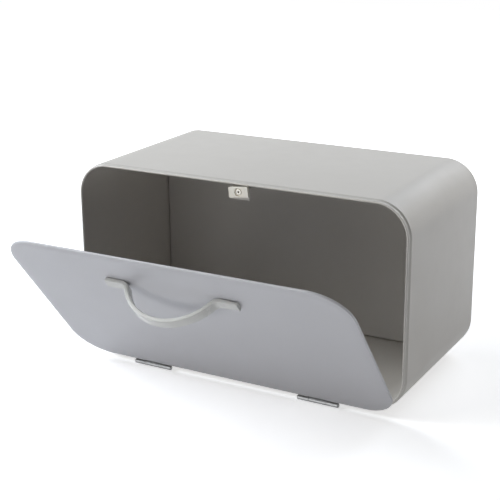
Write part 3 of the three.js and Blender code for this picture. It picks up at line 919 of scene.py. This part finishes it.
def catch_rivet():
    """A hollow rivet: a rounded head in the recess and a flared tail behind the tab."""
    seat = COUNTERBORE_DEPTH - SEAT_GAP
    front = seat - RIVET_HEAD_HEIGHT
    tail = CATCH_THICKNESS + BRACKET + SEAT_GAP
    tail_end = tail + RIVET_TAIL_HEIGHT
    rounding = RIVET_HEAD_HEIGHT / 2
    lip = RIVET_MOUTH_RADIUS / 4
    head_x = RIVET_HEAD_RADIUS - rounding
    tail_x = RIVET_TAIL_RADIUS - rounding
    profile = [
        (0, front + RIVET_MOUTH_DEPTH), (RIVET_MOUTH_RADIUS, front + RIVET_MOUTH_DEPTH),
        *arc(RIVET_MOUTH_RADIUS + lip, front + lip, lip, math.pi, 3 * math.pi / 2, EDGE_STEPS),
        *arc(head_x, front + rounding, rounding, -math.pi / 2, 0, EDGE_STEPS),
        (RIVET_HEAD_RADIUS, seat), (RIVET_RADIUS, seat), (RIVET_RADIUS, tail), (RIVET_TAIL_RADIUS, tail),
        *arc(tail_x, tail_end - rounding, rounding, 0, math.pi / 2, EDGE_STEPS),
        (0, tail_end),
    ]
    piece = turned("catch_rivet_hollow", profile, "rivet_steel")
    dress(place(piece, catch_frame()), "body", "rivet_steel", "catch_rivet")


def catch_bracket():
    """The leg welded under the top sheet and the tab that steps forward under the rim, in the row frame."""
    leg_top = shell_high.z - SHEET
    leg_y = shell_low.y + NECK_LENGTH + SHOULDER_LENGTH + BRACKET_BEHIND_NECK
    bend_y = leg_y + BRACKET_BEND
    bend_z = leg_top - BRACKET_BEND
    tab_bottom = rivet_z - CATCH_HEIGHT / 2 - BRACKET_LIP
    step_bottom = rivet_z + BRACKET_ABOVE_RIVET
    step_top = step_bottom + (leg_y - tab_front) / math.tan(BRACKET_STEP)
    mitre = BRACKET * math.tan(BRACKET_STEP / 2)
    outline = join_runs(
        [(tab_front, step_bottom), (tab_front, tab_bottom), (tab_front + BRACKET, tab_bottom),
         (tab_front + BRACKET, step_bottom - mitre), (leg_y + BRACKET, step_top - mitre)],
        arc(bend_y, bend_z, BRACKET_BEND - BRACKET, math.pi, math.pi / 2, EDGE_STEPS),
        [(leg_y + BRACKET_LEG, leg_top - BRACKET), (leg_y + BRACKET_LEG, leg_top)],
        arc(bend_y, bend_z, BRACKET_BEND, math.pi / 2, math.pi, EDGE_STEPS),
        [(leg_y, step_top)],
    )
    low_x = rivet_x - CATCH_WIDTH / 2
    piece = prism_along_x("catch_tab", outline, low_x, low_x + CATCH_WIDTH, "body_paint")
    bore = rod_along_y(RIVET_RADIUS + SEAT_GAP, tab_front - BRACKET, tab_front + 2 * BRACKET, "body_paint")
    cut_by(piece, place(bore, Matrix.Translation((rivet_x, 0, rivet_z))))
    bevel_edges(piece, LEAF_EDGE, LEAF_EDGE_STEPS)
    dress(piece, "body", "body_paint", "catch_bracket")


# Feet

def foot(name):
    """A tapered rubber foot with a rounded sole and a shallow hollow under it."""
    low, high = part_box(name)
    taper = FOOT_RADIUS - FOOT_SOLE_RADIUS
    lean = math.atan2(taper, FOOT_HEIGHT)
    rounding = arc(FOOT_SOLE_RADIUS - FOOT_EDGE, FOOT_EDGE, FOOT_EDGE, -math.pi / 2, -lean, EDGE_STEPS)
    rim = FOOT_SOLE_RADIUS - 3 * FOOT_EDGE
    profile = [
        (0, FOOT_HOLLOW), (rim - FOOT_EDGE, FOOT_HOLLOW), (rim, 0), *rounding,
        (FOOT_RADIUS, FOOT_HEIGHT), (0, FOOT_HEIGHT),
    ]
    piece = turned(f"{name}_rubber", profile, "foot_rubber")
    stand = Matrix.Translation(((low.x + high.x) / 2, (low.y + high.y) / 2, low.z))
    dress(place(piece, stand @ Matrix.Rotation(math.pi / 2, 4, "X")), "body", "foot_rubber", name)


body_shell()
back_panel()
door_panel()
handle()
for side_name, side_sign in (("left", -1), ("right", 1)):
    handle_screw(side_name, side_sign)
    handle_washer(side_name, side_sign)
for side_name in ("left", "right"):
    pin_low, pin_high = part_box(f"hinge_pin_{side_name}")
    pin_middle = (pin_low + pin_high) / 2
    hinge_body_leaf(f"hinge_body_leaf_{side_name}", pin_middle)
    hinge_door_leaf(f"hinge_door_leaf_{side_name}", pin_middle)
    hinge_pin(f"hinge_pin_{side_name}", pin_middle)
    for row_name in ("front", "rear"):
        foot(f"foot_{row_name}_{side_name}")
catch_magnet()
catch_rivet()
catch_bracket()


# Floor

FLOOR_SIZE = 6
FLOOR_COLOUR = (0.85, 0.85, 0.86)

# How bright the floor is to the camera and in reflections, near the object and far from it
LIFT_LOW = 0.6
LIFT_HIGH = 1
LIFT_NEAR = 0.3
LIFT_FAR = 0.8
MIRROR_LOW = 0.4
MIRROR_HIGH = 0.5
MIRROR_NEAR = 0.1
MIRROR_FAR = 0.5


def floor_material():
    """White to the camera, with the object's shadow kept, and dimmer in reflections."""
    nodes = Nodes("floor")
    tree = nodes.tree
    tree.nodes.remove(nodes.shader)
    diffuse = nodes.add("ShaderNodeBsdfDiffuse")
    diffuse.inputs["Color"].default_value = (*FLOOR_COLOUR, 1)
    lift = nodes.add("ShaderNodeEmission")
    rays = nodes.add("ShaderNodeLightPath")
    reach = nodes.add("ShaderNodeVectorMath", operation="LENGTH")
    nodes.link(nodes.place, reach.inputs[0])
    glow = nodes.remap(reach.outputs["Value"], LIFT_NEAR, LIFT_FAR, LIFT_LOW, LIFT_HIGH)
    mirror_glow = nodes.remap(reach.outputs["Value"], MIRROR_NEAR, MIRROR_FAR, MIRROR_LOW, MIRROR_HIGH)
    direct = nodes.math("MULTIPLY", rays.outputs["Is Camera Ray"], glow)
    mirrored = nodes.math("ADD", rays.outputs["Is Glossy Ray"], rays.outputs["Is Transmission Ray"])
    mirrored = nodes.math("MULTIPLY", mirrored, mirror_glow)
    nodes.link(nodes.math("ADD", direct, mirrored), lift.inputs["Strength"])
    total = nodes.add("ShaderNodeAddShader")
    nodes.link(diffuse.outputs[0], total.inputs[0])
    nodes.link(lift.outputs[0], total.inputs[1])
    nodes.link(total.outputs[0], tree.nodes["Material Output"].inputs["Surface"])
    return nodes.material


def lay_floor():
    half = FLOOR_SIZE / 2
    corners = [(-half, -half, 0), (half, -half, 0), (half, half, 0), (-half, half, 0)]
    mesh = bpy.data.meshes.new("floor")
    mesh.from_pydata(corners, [], [(0, 1, 2, 3)])
    mesh.materials.append(floor_material())
    floor = bpy.data.objects.new("floor", mesh)
    bpy.context.scene.collection.objects.link(floor)


# Light

AMBIENT = 0.005
COOL_LIGHT = (0.87, 0.945, 1.05)
WARM_LIGHT = (1, 0.975, 0.87)
NEUTRAL_LIGHT = (1, 0.995, 0.98)

# Each lamp's place, its width and height, its power, its colour, and the share of the body's
# height that it is aimed at
LAMPS = {
    "left_softbox": ((-1.2, -0.3, 1.0), (1.0, 0.8), 17.6, COOL_LIGHT, 1 / 2),
    "back_softbox": ((0.45, 1.35, 0.8), (0.9, 0.6), 4, NEUTRAL_LIGHT, 1 / 2),
    "high_back_softbox": ((0.3, 1.2, 1.2), (1.0, 0.6), 6.2, COOL_LIGHT, 1 / 2),
    "right_back_softbox": ((0.95, 1.2, 0.48), (0.8, 0.9), 3.9, NEUTRAL_LIGHT, 1 / 2),
    "front_left_softbox": ((-0.9, -0.7, 1.35), (0.9, 0.5), 5.6, WARM_LIGHT, 1 / 2),
    "low_front_softbox": ((0, -1.05, 0.1), (1.3, 0.19), 3, NEUTRAL_LIGHT, 1 / 4),
}


def soft_light(name, place_at, size, power, colour, height_share):
    """A rectangular lamp, aimed at the body, that the camera doesn't see."""
    look_at = Vector((body_middle.x, body_middle.y, shell_high.z * height_share))
    lamp = bpy.data.lights.new(name, "AREA")
    lamp.shape = "RECTANGLE"
    lamp.size, lamp.size_y = size
    lamp.energy = power
    lamp.color = colour
    lamp_object = bpy.data.objects.new(name, lamp)
    lamp_object.location = place_at
    lamp_object.visible_camera = False
    lamp_object.rotation_mode = "QUATERNION"
    lamp_object.rotation_quaternion = (look_at - Vector(place_at)).to_track_quat("-Z", "Y")
    bpy.context.scene.collection.objects.link(lamp_object)


def studio_world():
    """White to the camera and in reflections, and nearly dark as a source of light."""
    world = bpy.data.worlds.new("studio")
    bpy.context.scene.world = world
    world.use_nodes = True
    tree = world.node_tree
    background = tree.nodes["Background"]
    background.inputs["Color"].default_value = (1, 1, 1, 1)
    rays = tree.nodes.new("ShaderNodeLightPath")
    seen = rays.outputs["Is Camera Ray"]
    for name in ("Is Glossy Ray", "Is Transmission Ray"):
        either = tree.nodes.new("ShaderNodeMath")
        either.operation = "MAXIMUM"
        tree.links.new(seen, either.inputs[0])
        tree.links.new(rays.outputs[name], either.inputs[1])
        seen = either.outputs[0]
    strength = tree.nodes.new("ShaderNodeMapRange")
    strength.inputs["To Min"].default_value = AMBIENT
    strength.inputs["To Max"].default_value = 1
    tree.links.new(seen, strength.inputs["Value"])
    tree.links.new(strength.outputs["Result"], background.inputs["Strength"])


# Camera

LENS = 85.32
SENSOR = 36
CAMERA_AZIMUTH = math.radians(29.34)
CAMERA_ELEVATION = math.radians(17.85)
CAMERA_ROLL = math.radians(-0.47)
CAMERA_DISTANCE = 1.16797
TARGET_LEFT = 0.03102
TARGET_ABOVE = 0.09726


def camera():
    """The photograph's camera: it looks at a point in the body's middle plane, from the right and above."""
    level_right = Vector((math.cos(CAMERA_AZIMUTH), math.sin(CAMERA_AZIMUTH), 0))
    back = Vector((
        math.sin(CAMERA_AZIMUTH) * math.cos(CAMERA_ELEVATION),
        -math.cos(CAMERA_AZIMUTH) * math.cos(CAMERA_ELEVATION),
        math.sin(CAMERA_ELEVATION),
    ))
    level_up = back.cross(level_right)
    right = level_right * math.cos(CAMERA_ROLL) + level_up * math.sin(CAMERA_ROLL)
    up = back.cross(right)
    target = Vector((body_middle.x - TARGET_LEFT, body_middle.y, shell_low.z + TARGET_ABOVE))
    lens = bpy.data.cameras.new("camera")
    lens.lens = LENS
    lens.sensor_width = SENSOR
    lens.clip_end = 2 * FLOOR_SIZE
    holder = bpy.data.objects.new("camera", lens)
    turn = Matrix((right, up, back)).transposed().to_4x4()
    holder.matrix_world = Matrix.Translation(target + back * CAMERA_DISTANCE) @ turn
    bpy.context.scene.collection.objects.link(holder)
    bpy.context.scene.camera = holder


lay_floor()
for lamp_name, lamp_settings in LAMPS.items():
    soft_light(lamp_name, *lamp_settings)
studio_world()
camera()
bpy.context.scene.view_settings.view_transform = "Standard"
